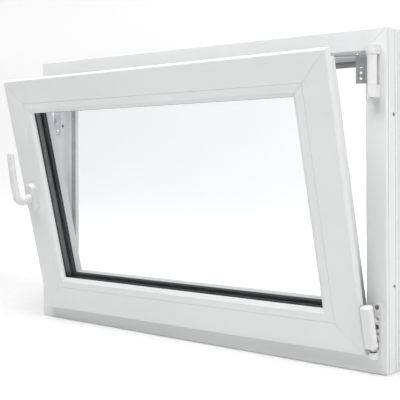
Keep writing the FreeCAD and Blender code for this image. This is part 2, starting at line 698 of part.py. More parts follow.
# ---------------------------------------------------------------- handle and gear
def handle_rosette():
    """Cover plate under the lever, with softened edges and a bore for the lever's neck."""
    half_width = ROSETTE_WIDTH / 2.0
    half_height = ROSETTE_HEIGHT / 2.0
    face = rectangle(HANDLE_X - half_width, HANDLE_X + half_width, HANDLE_Z - half_height,
                     HANDLE_Z + half_height, 12.0)
    front = SASH_FACE_DEPTH - ROSETTE_THICKNESS
    plate = prism(face, lambda u, v: at(u, front, v), Vector(0, ROSETTE_THICKNESS, 0))
    rim = [edge for edge in plate.Edges if edge.BoundBox.YMax < ROOM_Y + front + 0.01]
    plate = plate.makeFillet(1.8, rim)
    bore = rod(at(HANDLE_X, front - 1.0, HANDLE_Z), at(HANDLE_X, SASH_FACE_DEPTH + 1.0, HANDLE_Z),
               HANDLE_NECK_RADIUS + 0.05)
    plate = plate.cut(bore)
    for lift in ROSETTE_SCREW_LIFTS:
        start = at(HANDLE_X, SASH_FACE_DEPTH - 6.0, HANDLE_Z + lift)
        plate = plate.cut(rod(start, at(HANDLE_X, SASH_FACE_DEPTH + 1.0, HANDLE_Z + lift), 4.6))
    return plate


def rosette_screws():
    """Two screws that clamp the handle to the gear, hidden under the cover plate."""
    screws = []
    for lift in ROSETTE_SCREW_LIFTS:
        height = HANDLE_Z + lift
        seat = at(HANDLE_X, SASH_FACE_DEPTH, height)
        head = rod(at(HANDLE_X, SASH_FACE_DEPTH - 3.0, height), seat, 4.4)
        shank = rod(seat, at(HANDLE_X, CASE_DEPTHS[0] + 1.4, height), 2.5)
        screws.append(head.fuse(shank))
    return Part.makeCompound(screws)


def lever_ring(depth, lift, turn_deg, thickness):
    """Rounded rectangle across the lever; turn 0 faces the room, turn 90 faces up."""
    turn = math.radians(turn_deg)
    corner = 0.45 * min(LEVER_WIDTH, thickness)

    def place(u, v):
        return at(HANDLE_X + u, depth + v * math.sin(turn), HANDLE_Z + lift + v * math.cos(turn))

    half_width, half = LEVER_WIDTH / 2.0, thickness / 2.0
    return closed_wire(rectangle(-half_width, half_width, -half, half, corner), place)


def lever_rings():
    """Rings along the lever: straight neck, quarter-turn elbow that thins out, then the bowed grip."""
    elbow_depth, elbow_radius = -49.0, 15.0
    neck_thickness, root_thickness, tip_thickness = 21.0, 11.5, 9.0
    lean_deg, reach, bow = 4.0, 96.0, 1.6
    rings = [(SASH_FACE_DEPTH - ROSETTE_THICKNESS - 0.3, 0.0, 0.0, neck_thickness + 1.5)]
    steps = 10
    turn_total = 90.0 + lean_deg
    for step in range(steps + 1):
        share = step / steps
        angle = math.radians(share * turn_total)
        thickness = neck_thickness + share * (root_thickness - neck_thickness)
        rings.append((elbow_depth - elbow_radius * math.sin(angle), elbow_radius * (1.0 - math.cos(angle)),
                      share * turn_total, thickness))
    start_depth, start_lift = rings[-1][0], rings[-1][1]
    lean = math.radians(lean_deg)
    for step in range(1, 9):
        share = step / 8.0
        along = share * reach
        out = bow * math.sin(math.pi * share)
        rings.append((start_depth + along * math.sin(lean) - out, start_lift + along * math.cos(lean),
                      turn_total, root_thickness + share * (tip_thickness - root_thickness)))
    return rings


def handle_lever():
    """L-shaped lever: neck, elbow and slightly bowed grip, with a round journal behind it."""
    rings = lever_rings()
    body = Part.makeLoft([lever_ring(*values) for values in rings], True, True)
    front = rings[0][0]
    journal = rod(at(HANDLE_X, front - 1.0, HANDLE_Z), at(HANDLE_X, SASH_FACE_DEPTH - 3.5, HANDLE_Z),
                  HANDLE_NECK_RADIUS)
    socket = square_bar(front - 12.0, SASH_FACE_DEPTH, SPINDLE_SIDE + 0.1)
    return body.fuse(journal).removeSplitter().cut(socket)


def square_bar(depth_low, depth_high, side):
    """Square bar on the handle's axis."""
    half = side / 2.0
    return block(HANDLE_X - half, HANDLE_X + half, depth_low, depth_high, HANDLE_Z - half, HANDLE_Z + half)


def handle_spindle():
    """Square spindle from the lever through the gear pinion."""
    front = SASH_FACE_DEPTH - ROSETTE_THICKNESS - 11.8
    return square_bar(front, CASE_DEPTHS[1] - 0.2, SPINDLE_SIDE)


def gear_pinion():
    """Toothed wheel on the spindle."""
    pitch_angle = 2.0 * math.pi / GEAR_TEETH
    tip = GEAR_RADIUS + 0.85 * GEAR_MODULE
    root = GEAR_RADIUS - 1.2 * GEAR_MODULE
    corners = []
    for tooth in range(GEAR_TEETH):
        centre = tooth * pitch_angle
        for radius, share in ((root, -0.27), (tip, -0.11), (tip, 0.11), (root, 0.27)):
            angle = centre + share * pitch_angle
            corners.append((radius * math.cos(angle), radius * math.sin(angle)))
    low, high = HARDWARE_DEPTH - 4.0, HARDWARE_DEPTH + 4.0
    wheel = prism(corners, lambda u, v: at(HANDLE_X + u, low, HANDLE_Z + v), Vector(0, high - low, 0))
    return wheel.cut(square_bar(low - 1.0, high + 1.0, SPINDLE_SIDE + 0.1))


def gear_rack():
    """Toothed slider driven by the pinion, with lugs that reach the two halves of the left rod."""
    pitch = math.pi * GEAR_MODULE
    pitch_x = HANDLE_X + GEAR_RADIUS
    tip_x = pitch_x - 0.85 * GEAR_MODULE
    root_x = pitch_x + 1.3 * GEAR_MODULE
    back_x = root_x + 3.0
    low, high = HANDLE_Z - RACK_HALF, HANDLE_Z + RACK_HALF
    corners = [(back_x, low), (root_x, low)]
    for tooth in range(-11, 12):
        centre = HANDLE_Z + (tooth + 0.5) * pitch
        corners += [(root_x, centre - 0.30 * pitch), (tip_x, centre - 0.12 * pitch),
                    (tip_x, centre + 0.12 * pitch), (root_x, centre + 0.30 * pitch)]
    corners += [(root_x, high), (back_x, high)]
    depth_low, depth_high = HARDWARE_DEPTH - 4.0, HARDWARE_DEPTH + 4.0
    bar = prism(corners, lambda u, v: at(u, depth_low, v), Vector(0, depth_high - depth_low, 0))
    rod_x = -SASH_HALF + ROD_INSET + ROD_THICKNESS
    lugs = []
    for end in (low - RACK_LUG, high):
        lugs.append(block(rod_x, back_x, depth_low, depth_high, end, end + RACK_LUG))
    return bar.fuse(lugs).removeSplitter()


def gear_case():
    """Channel-shaped gear housing in the left stile."""
    low, high = HANDLE_Z - CASE_HALF_LENGTH, HANDLE_Z + CASE_HALF_LENGTH
    x_open = -SASH_HALF + SASH_REBATE + FACEPLATE_THICKNESS
    x_back = -SASH_HALF + CASE_INNER_INSET
    shell = block(x_open, x_back, CASE_DEPTHS[0], CASE_DEPTHS[1], low, high)
    hollow = block(x_open - 1.0, x_back - 1.5, CASE_DEPTHS[0] + 1.5, CASE_DEPTHS[1] - 1.5, low - 1.0,
                   high + 1.0)
    bore = rod(at(HANDLE_X, CASE_DEPTHS[0] - 1.0, HANDLE_Z), at(HANDLE_X, CASE_DEPTHS[1] + 1.0, HANDLE_Z),
               5.6)
    case = shell.cut(hollow).cut(bore)
    for lift in ROSETTE_SCREW_LIFTS:
        case = case.cut(rod(at(HANDLE_X, CASE_DEPTHS[0] - 1.0, HANDLE_Z + lift),
                            at(HANDLE_X, CASE_DEPTHS[0] + 1.6, HANDLE_Z + lift), 2.6))
    return case


# ---------------------------------------------------------------- top hinge and stay
def hinge_axis_rod(low, high, radius):
    """Round bar on the vertical hinge axis."""
    return rod(at(PIVOT_X, PIVOT_DEPTH, low), at(PIVOT_X, PIVOT_DEPTH, high), radius)


def bearing_knuckle(low, high):
    """Barrel on the hinge axis with the web that joins it to the frame plate."""
    barrel = hinge_axis_rod(low, high, HINGE_BARREL_RADIUS)
    web = block(PIVOT_X - 4.0, PIVOT_X + 4.0, PIVOT_DEPTH, -HINGE_PLATE + 0.5, low, high)
    return barrel.fuse(web)


def stay_bearing():
    """Steel top hinge plate with an upper and a lower knuckle."""
    plate = block(STAY_PLATE_X[0], STAY_PLATE_X[1], -HINGE_PLATE, 0.0, BEARING_LOW_Z, BEARING_HIGH_Z - 1.0)
    body = plate.fuse([bearing_knuckle(BEARING_LOW_Z + 1.0, KNUCKLE_LOW_Z - 0.3),
                       bearing_knuckle(KNUCKLE_HIGH_Z + 0.3, BEARING_HIGH_Z - 1.5)]).removeSplitter()
    body = body.cut(hinge_axis_rod(BEARING_LOW_Z - 5.0, BEARING_HIGH_Z + 5.0, HINGE_PIN_RADIUS + 0.05))
    for height in STAY_SCREW_HEIGHTS:
        body = body.cut(countersink(PIVOT_X, height, PLATE_HOLE_GROWTH))
    return body


def face_screw_places():
    """Left-right place and height of every screw into the right jamb's room face."""
    return ([(PIVOT_X, height) for height in STAY_SCREW_HEIGHTS]
            + [(PLATE_HOLES_X, height) for height in PIVOT_SCREW_HEIGHTS])


def countersink(x, height, growth):
    """Head and shank space of one countersunk screw through a hinge plate into the jamb."""
    face, seat = at(x, -HINGE_PLATE, height), at(x, -HINGE_PLATE + 1.9, height)
    head = cone(face, seat, 3.9 + growth, FACE_SCREW_RADIUS + growth)
    shank = rod(seat, at(x, FACE_SCREW_TIP, height), FACE_SCREW_RADIUS + growth)
    return head.fuse(shank).removeSplitter()


def face_screws(x, heights):
    """Countersunk screws through a hinge plate into the frame's room face."""
    screws = []
    for height in heights:
        recess = rod(at(x, -HINGE_PLATE - 1.0, height), at(x, -HINGE_PLATE + 0.9, height), 1.3)
        screws.append(countersink(x, height, 0.0).cut(recess))
    return Part.makeCompound(screws)


def stay_hinge_pin():
    """Pin through the three top knuckles."""
    return hinge_axis_rod(BEARING_LOW_Z - 1.0, BEARING_HIGH_Z - 2.0, HINGE_PIN_RADIUS)


def knuckle_cap(low, high, cavity_low, cavity_high):
    """White push-on cap over one frame knuckle: square behind, round in front."""
    half = KNUCKLE_COVER_RADIUS
    front = PIVOT_DEPTH - half - 0.2
    back = -HINGE_PLATE - 0.1
    wall = 1.2
    face = [(PIVOT_X - half, back, 0.8), (PIVOT_X + half, back, 0.8), (PIVOT_X + half, front, 7.5),
            (PIVOT_X - half, front, 7.5)]
    cavity = [(PIVOT_X - half + wall, -1.0), (PIVOT_X + half - wall, -1.0),
              (PIVOT_X + half - wall, front + wall, 6.3), (PIVOT_X - half + wall, front + wall, 6.3)]
    shell = prism(face, lambda u, v: at(u, v, low), Vector(0, 0, high - low))
    outside = [edge for edge in shell.Edges if edge.BoundBox.ZLength < 0.01
               and (edge.BoundBox.ZMin > high - 0.01) == (cavity_high < high)
               and edge.BoundBox.YMin < at(0, back, 0).y - 0.5]
    shell = shell.makeFillet(0.8, outside)
    hollow = prism(cavity, lambda u, v: at(u, v, cavity_low), Vector(0, 0, cavity_high - cavity_low))
    bore = hinge_axis_rod(low - 1.0, high - 1.0, HINGE_PIN_RADIUS + 0.5)
    return shell.cut(hollow).cut(bore)


def stay_bearing_caps():
    """Upper and lower cap of the top hinge."""
    lower = knuckle_cap(BEARING_LOW_Z, KNUCKLE_LOW_Z - 0.3, BEARING_LOW_Z + 0.8, KNUCKLE_LOW_Z + 1.0)
    upper = knuckle_cap(KNUCKLE_HIGH_Z + 0.3, BEARING_HIGH_Z, KNUCKLE_HIGH_Z - 1.0, BEARING_HIGH_Z - 0.8)
    return Part.makeCompound([lower, upper])


def leaf_outline(leaf_x):
    """Plan outline of a hinge leaf: out of the barrel, behind the sash lip, into the rebate."""
    back, front = LEAF_DEPTHS[1], LEAF_DEPTHS[0]
    lip_side = SASH_HALF + 1.3
    t = LEAF_THICKNESS
    return [
        (PIVOT_X, PIVOT_DEPTH - 1.0), (PIVOT_X, PIVOT_DEPTH + 1.0), (lip_side + t, PIVOT_DEPTH + 1.0),
        (lip_side + t, back, 1.5), (leaf_x, back, 0.8), (leaf_x, front), (lip_side, front, 0.6),
        (lip_side, PIVOT_DEPTH - 1.0, 1.0),
    ]


def stay_leaf():
    """Middle knuckle of the top hinge with its cranked leaf and the block that carries the arm."""
    barrel = hinge_axis_rod(KNUCKLE_LOW_Z, KNUCKLE_HIGH_Z, HINGE_BARREL_RADIUS)
    low, high = STAY_LEAF_Z
    leaf = prism(leaf_outline(LEAF_X), lambda u, v: at(u, v, low), Vector(0, 0, high - low))
    turned = block(LEAF_X, LEAF_X + LEAF_THICKNESS, LEAF_DEPTHS[0] + 0.4, 13.0, low, high)
    head = block(LEAF_X, LEAF_X + 5.5, 2.0, 15.0, high - 6.0, STAY_LOW_Z)
    body = barrel.fuse([leaf, turned, head]).removeSplitter()
    for height in LEAF_SCREW_HEIGHTS:
        body = body.cut(rod(at(LEAF_X + 9.0, LEAF_DEPTHS[0] - 0.5, height),
                            at(LEAF_X + 9.0, LEAF_DEPTHS[1] + 0.5, height), 2.2))
    return body.cut(hinge_axis_rod(KNUCKLE_LOW_Z - 1.0, KNUCKLE_HIGH_Z + 1.0, HINGE_PIN_RADIUS + 0.05))


def stay_cover():
    """White sleeve over the middle knuckle."""
    outer = hinge_axis_rod(KNUCKLE_LOW_Z, KNUCKLE_HIGH_Z, KNUCKLE_COVER_RADIUS)
    inner = hinge_axis_rod(KNUCKLE_LOW_Z - 1.0, KNUCKLE_HIGH_Z + 1.0, HINGE_BARREL_RADIUS + 0.1)
    slot = block(PIVOT_X - 20.0, PIVOT_X, PIVOT_DEPTH - 1.2, PIVOT_DEPTH + 1.2, KNUCKLE_LOW_Z - 1.0,
                 KNUCKLE_HIGH_Z + 1.0)
    return outer.cut(inner).cut(slot)


def stay_tip():
    """Plan place of the arm's far pin when the sash is closed: x and depth."""
    side_step = HARDWARE_DEPTH - PIVOT_DEPTH
    return PIVOT_X - math.sqrt(STAY_REACH ** 2 - side_step ** 2), HARDWARE_DEPTH


def stay_arm():
    """Flat steel arm of the tilt stay, from the leaf's block to the far pin."""
    tip_x, tip_depth = stay_tip()
    root_x, root_depth = LEAF_X + 2.5, 8.5
    half_width = 6.5
    along = math.atan2(tip_depth - root_depth, tip_x - root_x)
    sin_a, cos_a = math.sin(along) * half_width, math.cos(along) * half_width
    corners = [
        (root_x + 3.5, root_depth - half_width), (tip_x - sin_a + cos_a, tip_depth + cos_a + sin_a, 5.0),
        (tip_x + sin_a + cos_a, tip_depth - cos_a + sin_a, 5.0), (root_x + 3.5, root_depth + half_width),
    ]
    arm = prism(corners, lambda u, v: at(u, v, STAY_LOW_Z), Vector(0, 0, STAY_THICKNESS))
    holes = [(tip_x, tip_depth, STAY_PIN_RADIUS)] + [(x, depth, 1.5) for x, depth in LEAF_RIVETS]
    for x, depth, radius in holes:
        arm = arm.cut(rod(at(x, depth, STAY_LOW_Z - 1.0), at(x, depth, STAY_LOW_Z + 5.0), radius))
    return arm


def stay_rivets():
    """Rivets that join the arm to the hinge leaf's block."""
    rivets = []
    top = STAY_LOW_Z + STAY_THICKNESS
    for x, depth in LEAF_RIVETS:
        shank = rod(at(x, depth, STAY_LOW_Z), at(x, depth, top), 1.5)
        rivets.append(shank.fuse(cone(at(x, depth, top), at(x, depth, top + 1.4), 2.6, 1.6)))
    return Part.makeCompound(rivets)


def stay_pin():
    """Long guide pin at the arm's far end, riveted over on top."""
    tip_x, tip_depth = stay_tip()
    top = STAY_LOW_Z + STAY_THICKNESS
    foot = at(tip_x, tip_depth, STAY_LOW_Z - STAY_PIN_DROP)
    shank = rod(foot, at(tip_x, tip_depth, top), STAY_PIN_RADIUS)
    head = cone(at(tip_x, tip_depth, top), at(tip_x, tip_depth, top + 1.8), 5.0, 3.6)
    return shank.fuse(head)


def stay_swing_deg():
    """Swing of the arm between closed and tilted, from the sash's movement at the far pin."""
    tip_x, tip_depth = stay_tip()
    closed = math.asin((tip_depth - PIVOT_DEPTH) / STAY_REACH)
    angle = math.radians(TILT_OPEN_DEG)
    guide_z = SASH_HIGH - SASH_REBATE - FACEPLATE_THICKNESS / 2.0
    swing = closed
    for _ in range(6):
        rest_x = PIVOT_X - STAY_REACH * math.cos(closed - swing)
        axis_depth = tilt_axis_depth(rest_x)
        guide_depth = (axis_depth + (tip_depth - axis_depth) * math.cos(angle)
                       - (guide_z - TILT_AXIS_Z) * math.sin(angle))
        swing = closed - math.asin((guide_depth - PIVOT_DEPTH) / STAY_REACH)
    return math.degrees(swing)


def tilt_axis_depth(x):
    """Depth of the tilt axis at one place across the window."""
    share = (x - TILT_REST_X) / (PIVOT_X - TILT_REST_X)
    return TILT_REST_DEPTH + share * (PIVOT_DEPTH - TILT_REST_DEPTH)


def stay_slot_span():
    """Left and right end of the slot that the far pin runs in."""
    tip_x, tip_depth = stay_tip()
    closed = math.degrees(math.asin((tip_depth - PIVOT_DEPTH) / STAY_REACH))
    rest_x = PIVOT_X - STAY_REACH * math.cos(math.radians(closed - stay_swing_deg()))
    return tip_x - STAY_PIN_RADIUS - 1.5, rest_x + STAY_PIN_RADIUS + STAY_SLOT_RUN_OUT


def stay_guide():
    """Slotted rail on top of the sash that the stay's pin runs in."""
    low_x, high_x = stay_slot_span()
    insets = (SASH_REBATE, SASH_REBATE + FACEPLATE_THICKNESS)
    rail = side_block("top", SASH_LIMITS, insets, (GROOVE_DEPTH_LOW + 0.2, GROOVE_DEPTH_HIGH - 0.2),
                      (167.0, 392.0))
    half_slot = STAY_SLOT_WIDTH / 2.0
    slot = side_block("top", SASH_LIMITS, (insets[0] - 1.0, insets[1] + 1.0),
                      (HARDWARE_DEPTH - half_slot, HARDWARE_DEPTH + half_slot), (low_x, high_x))
    return rail.cut(slot)


# ---------------------------------------------------------------- bottom hinge
def pivot_plate():
    """Bottom hinge plate on the frame's room face, with its row of screw holes."""
    face = [(PLATE_X[0], PLATE_Z[0], 2.0), (PLATE_X[1], PLATE_Z[0], 4.0), (PLATE_X[1], PLATE_Z[1], 6.0),
            (PLATE_X[0], PLATE_Z[1], 6.0)]
    plate = prism(face, lambda u, v: at(u, -HINGE_PLATE, v), Vector(0, HINGE_PLATE, 0))
    for height in PLATE_HOLE_HEIGHTS:
        plate = plate.cut(countersink(PLATE_HOLES_X, height, PLATE_HOLE_GROWTH))
    return plate


def pivot_socket():
    """Round cup on the bottom hinge plate that holds the turning bush."""
    low, high = PLATE_Z[0], BUSH_Z[1]
    cup = hinge_axis_rod(low, high, SOCKET_RADIUS)
    web = block(PIVOT_X - SOCKET_RADIUS, PIVOT_X + 3.5, PIVOT_DEPTH, -HINGE_PLATE, low, high)
    body = cup.fuse(web).removeSplitter()
    return body.cut(hinge_axis_rod(BUSH_Z[0], high + 1.0, BUSH_RADIUS + 0.05))


def pivot_bush():
    """Bush that turns in the cup and seats the pin's ball."""
    body = hinge_axis_rod(BUSH_Z[0], BUSH_Z[1], BUSH_RADIUS)
    centre = at(PIVOT_X, PIVOT_DEPTH, TILT_AXIS_Z)
    ball = Part.makeSphere(BALL_RADIUS + 0.05, centre)
    mouth = cone(centre, at(PIVOT_X, PIVOT_DEPTH, TILT_AXIS_Z + 6.0), BALL_RADIUS + 0.05, BALL_RADIUS + 0.4)
    return body.cut(ball).cut(mouth)


def pivot_pin():
    """Ball-ended pin that carries the sash."""
    ball = Part.makeSphere(BALL_RADIUS, at(PIVOT_X, PIVOT_DEPTH, TILT_AXIS_Z))
    neck = hinge_axis_rod(TILT_AXIS_Z, SLEEVE_Z[0], PIN_NECK_RADIUS)
    shank = hinge_axis_rod(SLEEVE_Z[0] - 4.0, SLEEVE_Z[1] - 8.0, PIN_RADIUS)
    return ball.fuse([neck, shank]).removeSplitter()


def pivot_sleeve():
    """Sash-side barrel of the bottom hinge with its leaf round to the sash's edge."""
    barrel = hinge_axis_rod(SLEEVE_Z[0], SLEEVE_Z[1], SLEEVE_RADIUS)
    inner_x = SASH_HALF - SASH_REBATE
    low, high = SLEEVE_LEAF_Z
    leaf = prism(leaf_outline(inner_x), lambda u, v: at(u, v, low), Vector(0, 0, high - low))
    turned = block(inner_x, inner_x + LEAF_THICKNESS, LEAF_DEPTHS[0], 22.0, low, high)
    body = barrel.fuse([leaf, turned]).removeSplitter()
    body = body.cut(hinge_axis_rod(SLEEVE_Z[0] - 1.0, SLEEVE_Z[1] - 7.0, PIN_RADIUS + 0.05))
    for height in SLEEVE_SCREW_HEIGHTS:
        inside = at(inner_x - 1.0, HARDWARE_DEPTH, height)
        body = body.cut(rod(inside, at(inner_x + 4.0, HARDWARE_DEPTH, height), 2.2))
    return body


def sleeve_screws():
    """Screws of the bottom hinge leaf into the sash's edge."""
    screws = []
    inner_x = SASH_HALF - SASH_REBATE
    for height in SLEEVE_SCREW_HEIGHTS:
        seat = at(inner_x + LEAF_THICKNESS, HARDWARE_DEPTH, height)
        tip = on_side("right", SASH_LIMITS, SLEEVE_SCREW_TIP, height, HARDWARE_DEPTH)
        shank = rod(tip, seat, SLEEVE_SCREW_RADIUS)
        head = cone(seat, at(inner_x + LEAF_THICKNESS + 1.5, HARDWARE_DEPTH, height), 3.8, 2.6)
        screws.append(shank.fuse(head))
    return Part.makeCompound(screws)


def pivot_cap():
    """White cap over the sash-side barrel: round behind, squarer in front."""
    front = PIVOT_DEPTH - CAP_HALF - 0.6
    low, high = SLEEVE_Z[0] - 1.5, SLEEVE_Z[1] + 2.5
    face = [(PIVOT_X - CAP_HALF, PIVOT_DEPTH), (PIVOT_X + CAP_HALF, PIVOT_DEPTH),
            (PIVOT_X + CAP_HALF, front, 5.0), (PIVOT_X - CAP_HALF, front, 2.5)]
    nose = prism(face, lambda u, v: at(u, v, low), Vector(0, 0, high - low))
    shell = nose.fuse(hinge_axis_rod(low, high, CAP_HALF)).removeSplitter()
    top = [edge for edge in shell.Edges if edge.BoundBox.ZMin > high - 0.01]
    shell = shell.makeFillet(1.2, top)
    hollow = hinge_axis_rod(low - 1.0, high - 2.2, SLEEVE_RADIUS + 0.1)
    gap = block(PIVOT_X - 30.0, PIVOT_X, PIVOT_DEPTH - 1.3, PIVOT_DEPTH + 14.0, low - 1.0, high - 2.2)
    return shell.cut(hollow).cut(gap)


# ---------------------------------------------------------------- placing and writing
def tilt_open(shape):
    """Tilt a piece of the closed sash into the room, about the axis through its lower corners."""
    pivot = at(PIVOT_X, PIVOT_DEPTH, TILT_AXIS_Z)
    axis = pivot.sub(at(TILT_REST_X, TILT_REST_DEPTH, TILT_AXIS_Z))
    shape.rotate(pivot, axis, TILT_OPEN_DEG)
    return shape


def swing_open(shape):
    """Swing a piece of the folded stay out to where it holds the tilted sash."""
    shape.rotate(at(PIVOT_X, PIVOT_DEPTH, 0.0), Vector(0, 0, 1), stay_swing_deg())
    return shape


def frame_parts():
    """Pieces fixed to the outer frame."""
    return {
        "frame_head": frame_bar("top"),
        "frame_sill": frame_bar("bottom"),
        "frame_left_jamb": frame_bar("left"),
        "frame_right_jamb": frame_bar("right"),
        "frame_reinforcement": frame_reinforcement(),
        "frame_gasket": frame_gasket(),
        "drain_caps": drain_caps(),
        "lock_strikers": lock_strikers(),
        "striker_screws": striker_screws(),
        "tilt_striker": tilt_striker(),
        "stay_bearing": stay_bearing(),
        "stay_bearing_screws": face_screws(PIVOT_X, STAY_SCREW_HEIGHTS),
        "stay_hinge_pin": stay_hinge_pin(),
        "stay_bearing_caps": stay_bearing_caps(),
        "pivot_plate": pivot_plate(),
        "pivot_plate_screws": face_screws(PLATE_HOLES_X, PIVOT_SCREW_HEIGHTS),
        "pivot_socket": pivot_socket(),
        "pivot_bush": pivot_bush(),
    }


def stay_parts():
    """Pieces of the tilt stay, drawn folded into the head."""
    return {
        "stay_leaf": stay_leaf(),
        "stay_cover": stay_cover(),
        "stay_arm": stay_arm(),
        "stay_rivets": stay_rivets(),
        "stay_pin": stay_pin(),
    }


def sash_parts():
    """Pieces that move with the sash, drawn closed."""
    pieces = {
        "sash_top_rail": sash_bar("top"),
        "sash_bottom_rail": sash_bar("bottom"),
        "sash_left_stile": sash_bar("left"),
        "sash_right_stile": sash_bar("right"),
        "sash_reinforcement": sash_reinforcement(),
        "sash_gasket": sash_gasket(),
        "inner_pane": pane(PANE_DEPTHS[0]),
        "outer_pane": pane(PANE_DEPTHS[1]),
        "glass_spacer": glass_spacer(),
        "glass_edge_seal": glass_edge_seal(),
        "glazing_blocks": glazing_blocks(),
        "inner_glass_gasket": inner_glass_gasket(),
        "outer_glass_gasket": outer_glass_gasket(),
        "faceplates": faceplates(),
        "corner_drives": corner_drives(),
        "stay_guide": stay_guide(),
        "gear_case": gear_case(),
        "gear_rack": gear_rack(),
        "gear_pinion": gear_pinion(),
        "handle_rosette": handle_rosette(),
        "rosette_screws": rosette_screws(),
        "handle_lever": handle_lever(),
        "handle_spindle": handle_spindle(),
        "pivot_pin": pivot_pin(),
        "pivot_sleeve": pivot_sleeve(),
        "sleeve_screws": sleeve_screws(),
        "pivot_cap": pivot_cap(),
    }
    for side in SIDES:
        pieces["bead_" + side] = glazing_bead(side)
    for side in CAM_PLACES:
        pieces[side + "_drive_rod"] = drive_rod(side)
        pieces[side + "_cams"] = cams(side)
    return pieces


def main():
    """Build every sub-part in its resting place and write it."""
    os.makedirs("parts", exist_ok=True)
    for name, shape in frame_parts().items():
        save(name, shape)
    for name, shape in stay_parts().items():
        save(name, swing_open(shape))
    for name, shape in sash_parts().items():
        save(name, tilt_open(shape))
    print("stay swing (degrees):", round(stay_swing_deg(), 3))
    print("rod travel (mm):", round(ROD_TRAVEL, 3))


main()
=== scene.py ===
import json
import math

import bpy
from mathutils import Matrix, Vector

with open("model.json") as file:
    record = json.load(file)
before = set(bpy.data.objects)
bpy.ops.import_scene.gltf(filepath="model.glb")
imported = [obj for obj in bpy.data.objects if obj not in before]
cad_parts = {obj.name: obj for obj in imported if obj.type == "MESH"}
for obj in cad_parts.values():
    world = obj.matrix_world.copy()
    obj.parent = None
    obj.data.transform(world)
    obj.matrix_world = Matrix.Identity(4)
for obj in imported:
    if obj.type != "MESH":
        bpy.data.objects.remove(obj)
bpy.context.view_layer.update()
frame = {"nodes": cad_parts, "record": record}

# A white plastic tilt-and-turn window. Every CAD node keeps its own mesh and gets a procedural
# material here. The floor, the lights and the camera are the only things added to the scene.

# The middle of a noise texture's grey range, which colour blends and spreads are stretched over.
GREY_LOW = 0.3
GREY_HIGH = 0.7


# ------------------------------------------------------------------ node helpers
def new_material(name):
    """An empty node material with its output and a Principled shader."""
    material = bpy.data.materials.new(name)
    material.use_nodes = True
    tree = material.node_tree
    tree.nodes.clear()
    output = tree.nodes.new("ShaderNodeOutputMaterial")
    shader = tree.nodes.new("ShaderNodeBsdfPrincipled")
    tree.links.new(shader.outputs["BSDF"], output.inputs["Surface"])
    return material, tree, shader, output


def object_point(tree, scale=(1.0, 1.0, 1.0)):
    """Coordinates fixed to the piece, stretched by scale."""
    coordinates = tree.nodes.new("ShaderNodeTexCoord")
    mapping = tree.nodes.new("ShaderNodeMapping")
    mapping.inputs["Scale"].default_value = scale
    tree.links.new(coordinates.outputs["Object"], mapping.inputs["Vector"])
    return mapping.outputs["Vector"]


def noise(tree, point, scale, detail):
    """Grey noise at a given number of cells a metre."""
    node = tree.nodes.new("ShaderNodeTexNoise")
    node.inputs["Scale"].default_value = scale
    node.inputs["Detail"].default_value = detail
    node.inputs["Roughness"].default_value = 0.55
    tree.links.new(point, node.inputs["Vector"])
    return node.outputs["Fac"]


def spread(tree, value, low, high, from_low=GREY_LOW, from_high=GREY_HIGH):
    """The value from from_low to from_high, mapped to low to high."""
    node = tree.nodes.new("ShaderNodeMapRange")
    node.inputs["From Min"].default_value = from_low
    node.inputs["From Max"].default_value = from_high
    node.inputs["To Min"].default_value = low
    node.inputs["To Max"].default_value = high
    tree.links.new(value, node.inputs["Value"])
    return node.outputs["Result"]


def two_colours(tree, value, first, second):
    """A blend between two colours, driven by a grey value."""
    ramp = tree.nodes.new("ShaderNodeValToRGB")
    ramp.color_ramp.elements[0].position = GREY_LOW
    ramp.color_ramp.elements[1].position = GREY_HIGH
    ramp.color_ramp.elements[0].color = (*first, 1.0)
    ramp.color_ramp.elements[1].color = (*second, 1.0)
    tree.links.new(value, ramp.inputs["Fac"])
    return ramp.outputs["Color"]


def bump(tree, shader, height, distance):
    """Fine relief on a shader."""
    node = tree.nodes.new("ShaderNodeBump")
    node.inputs["Distance"].default_value = distance
    node.inputs["Strength"].default_value = 1.0
    tree.links.new(height, node.inputs["Height"])
    tree.links.new(node.outputs["Normal"], shader.inputs["Normal"])


def add(tree, first, second, share):
    """first plus second times share."""
    node = tree.nodes.new("ShaderNodeMath")
    node.operation = "MULTIPLY_ADD"
    node.inputs[1].default_value = share
    tree.links.new(second, node.inputs[0])
    tree.links.new(first, node.inputs[2])
    return node.outputs["Value"]


# ------------------------------------------------------------------ materials
def drawn_out(axis, share):
    """Texture scale that stretches the grain along one axis, or not at all without an axis."""
    stretch = [1.0, 1.0, 1.0]
    if axis is not None:
        stretch["XYZ".index(axis)] = share
    return stretch


def plastic(name, light, dark, roughness, drawn_along=None, grain=0.00001):
    """Hard plastic; drawn_along gives the faint draw lines of an extruded bar."""
    material, tree, shader, _ = new_material(name)
    cloud = noise(tree, object_point(tree), 9.0, 2.0)
    tree.links.new(two_colours(tree, cloud, dark, light), shader.inputs["Base Color"])
    relief = noise(tree, object_point(tree), 900.0, 2.0)
    if drawn_along is not None:
        lines = noise(tree, object_point(tree, drawn_out(drawn_along, 0.01)), 700.0, 3.0)
        relief = add(tree, lines, relief, 0.35)
    gloss = noise(tree, object_point(tree), 35.0, 4.0)
    tree.links.new(spread(tree, gloss, roughness - 0.05, roughness + 0.06), shader.inputs["Roughness"])
    bump(tree, shader, relief, grain)
    shader.inputs["IOR"].default_value = 1.54
    return material


def powder_coat(name):
    """White powder coat with its faint orange-peel."""
    material, tree, shader, _ = new_material(name)
    cloud = noise(tree, object_point(tree), 20.0, 2.0)
    tree.links.new(two_colours(tree, cloud, (0.66, 0.66, 0.658), (0.70, 0.70, 0.698)),
                   shader.inputs["Base Color"])
    peel = noise(tree, object_point(tree), 1400.0, 1.0)
    tree.links.new(spread(tree, peel, 0.26, 0.34), shader.inputs["Roughness"])
    bump(tree, shader, peel, 0.00002)
    shader.inputs["Coat Weight"].default_value = 0.25
    shader.inputs["Coat Roughness"].default_value = 0.15
    return material


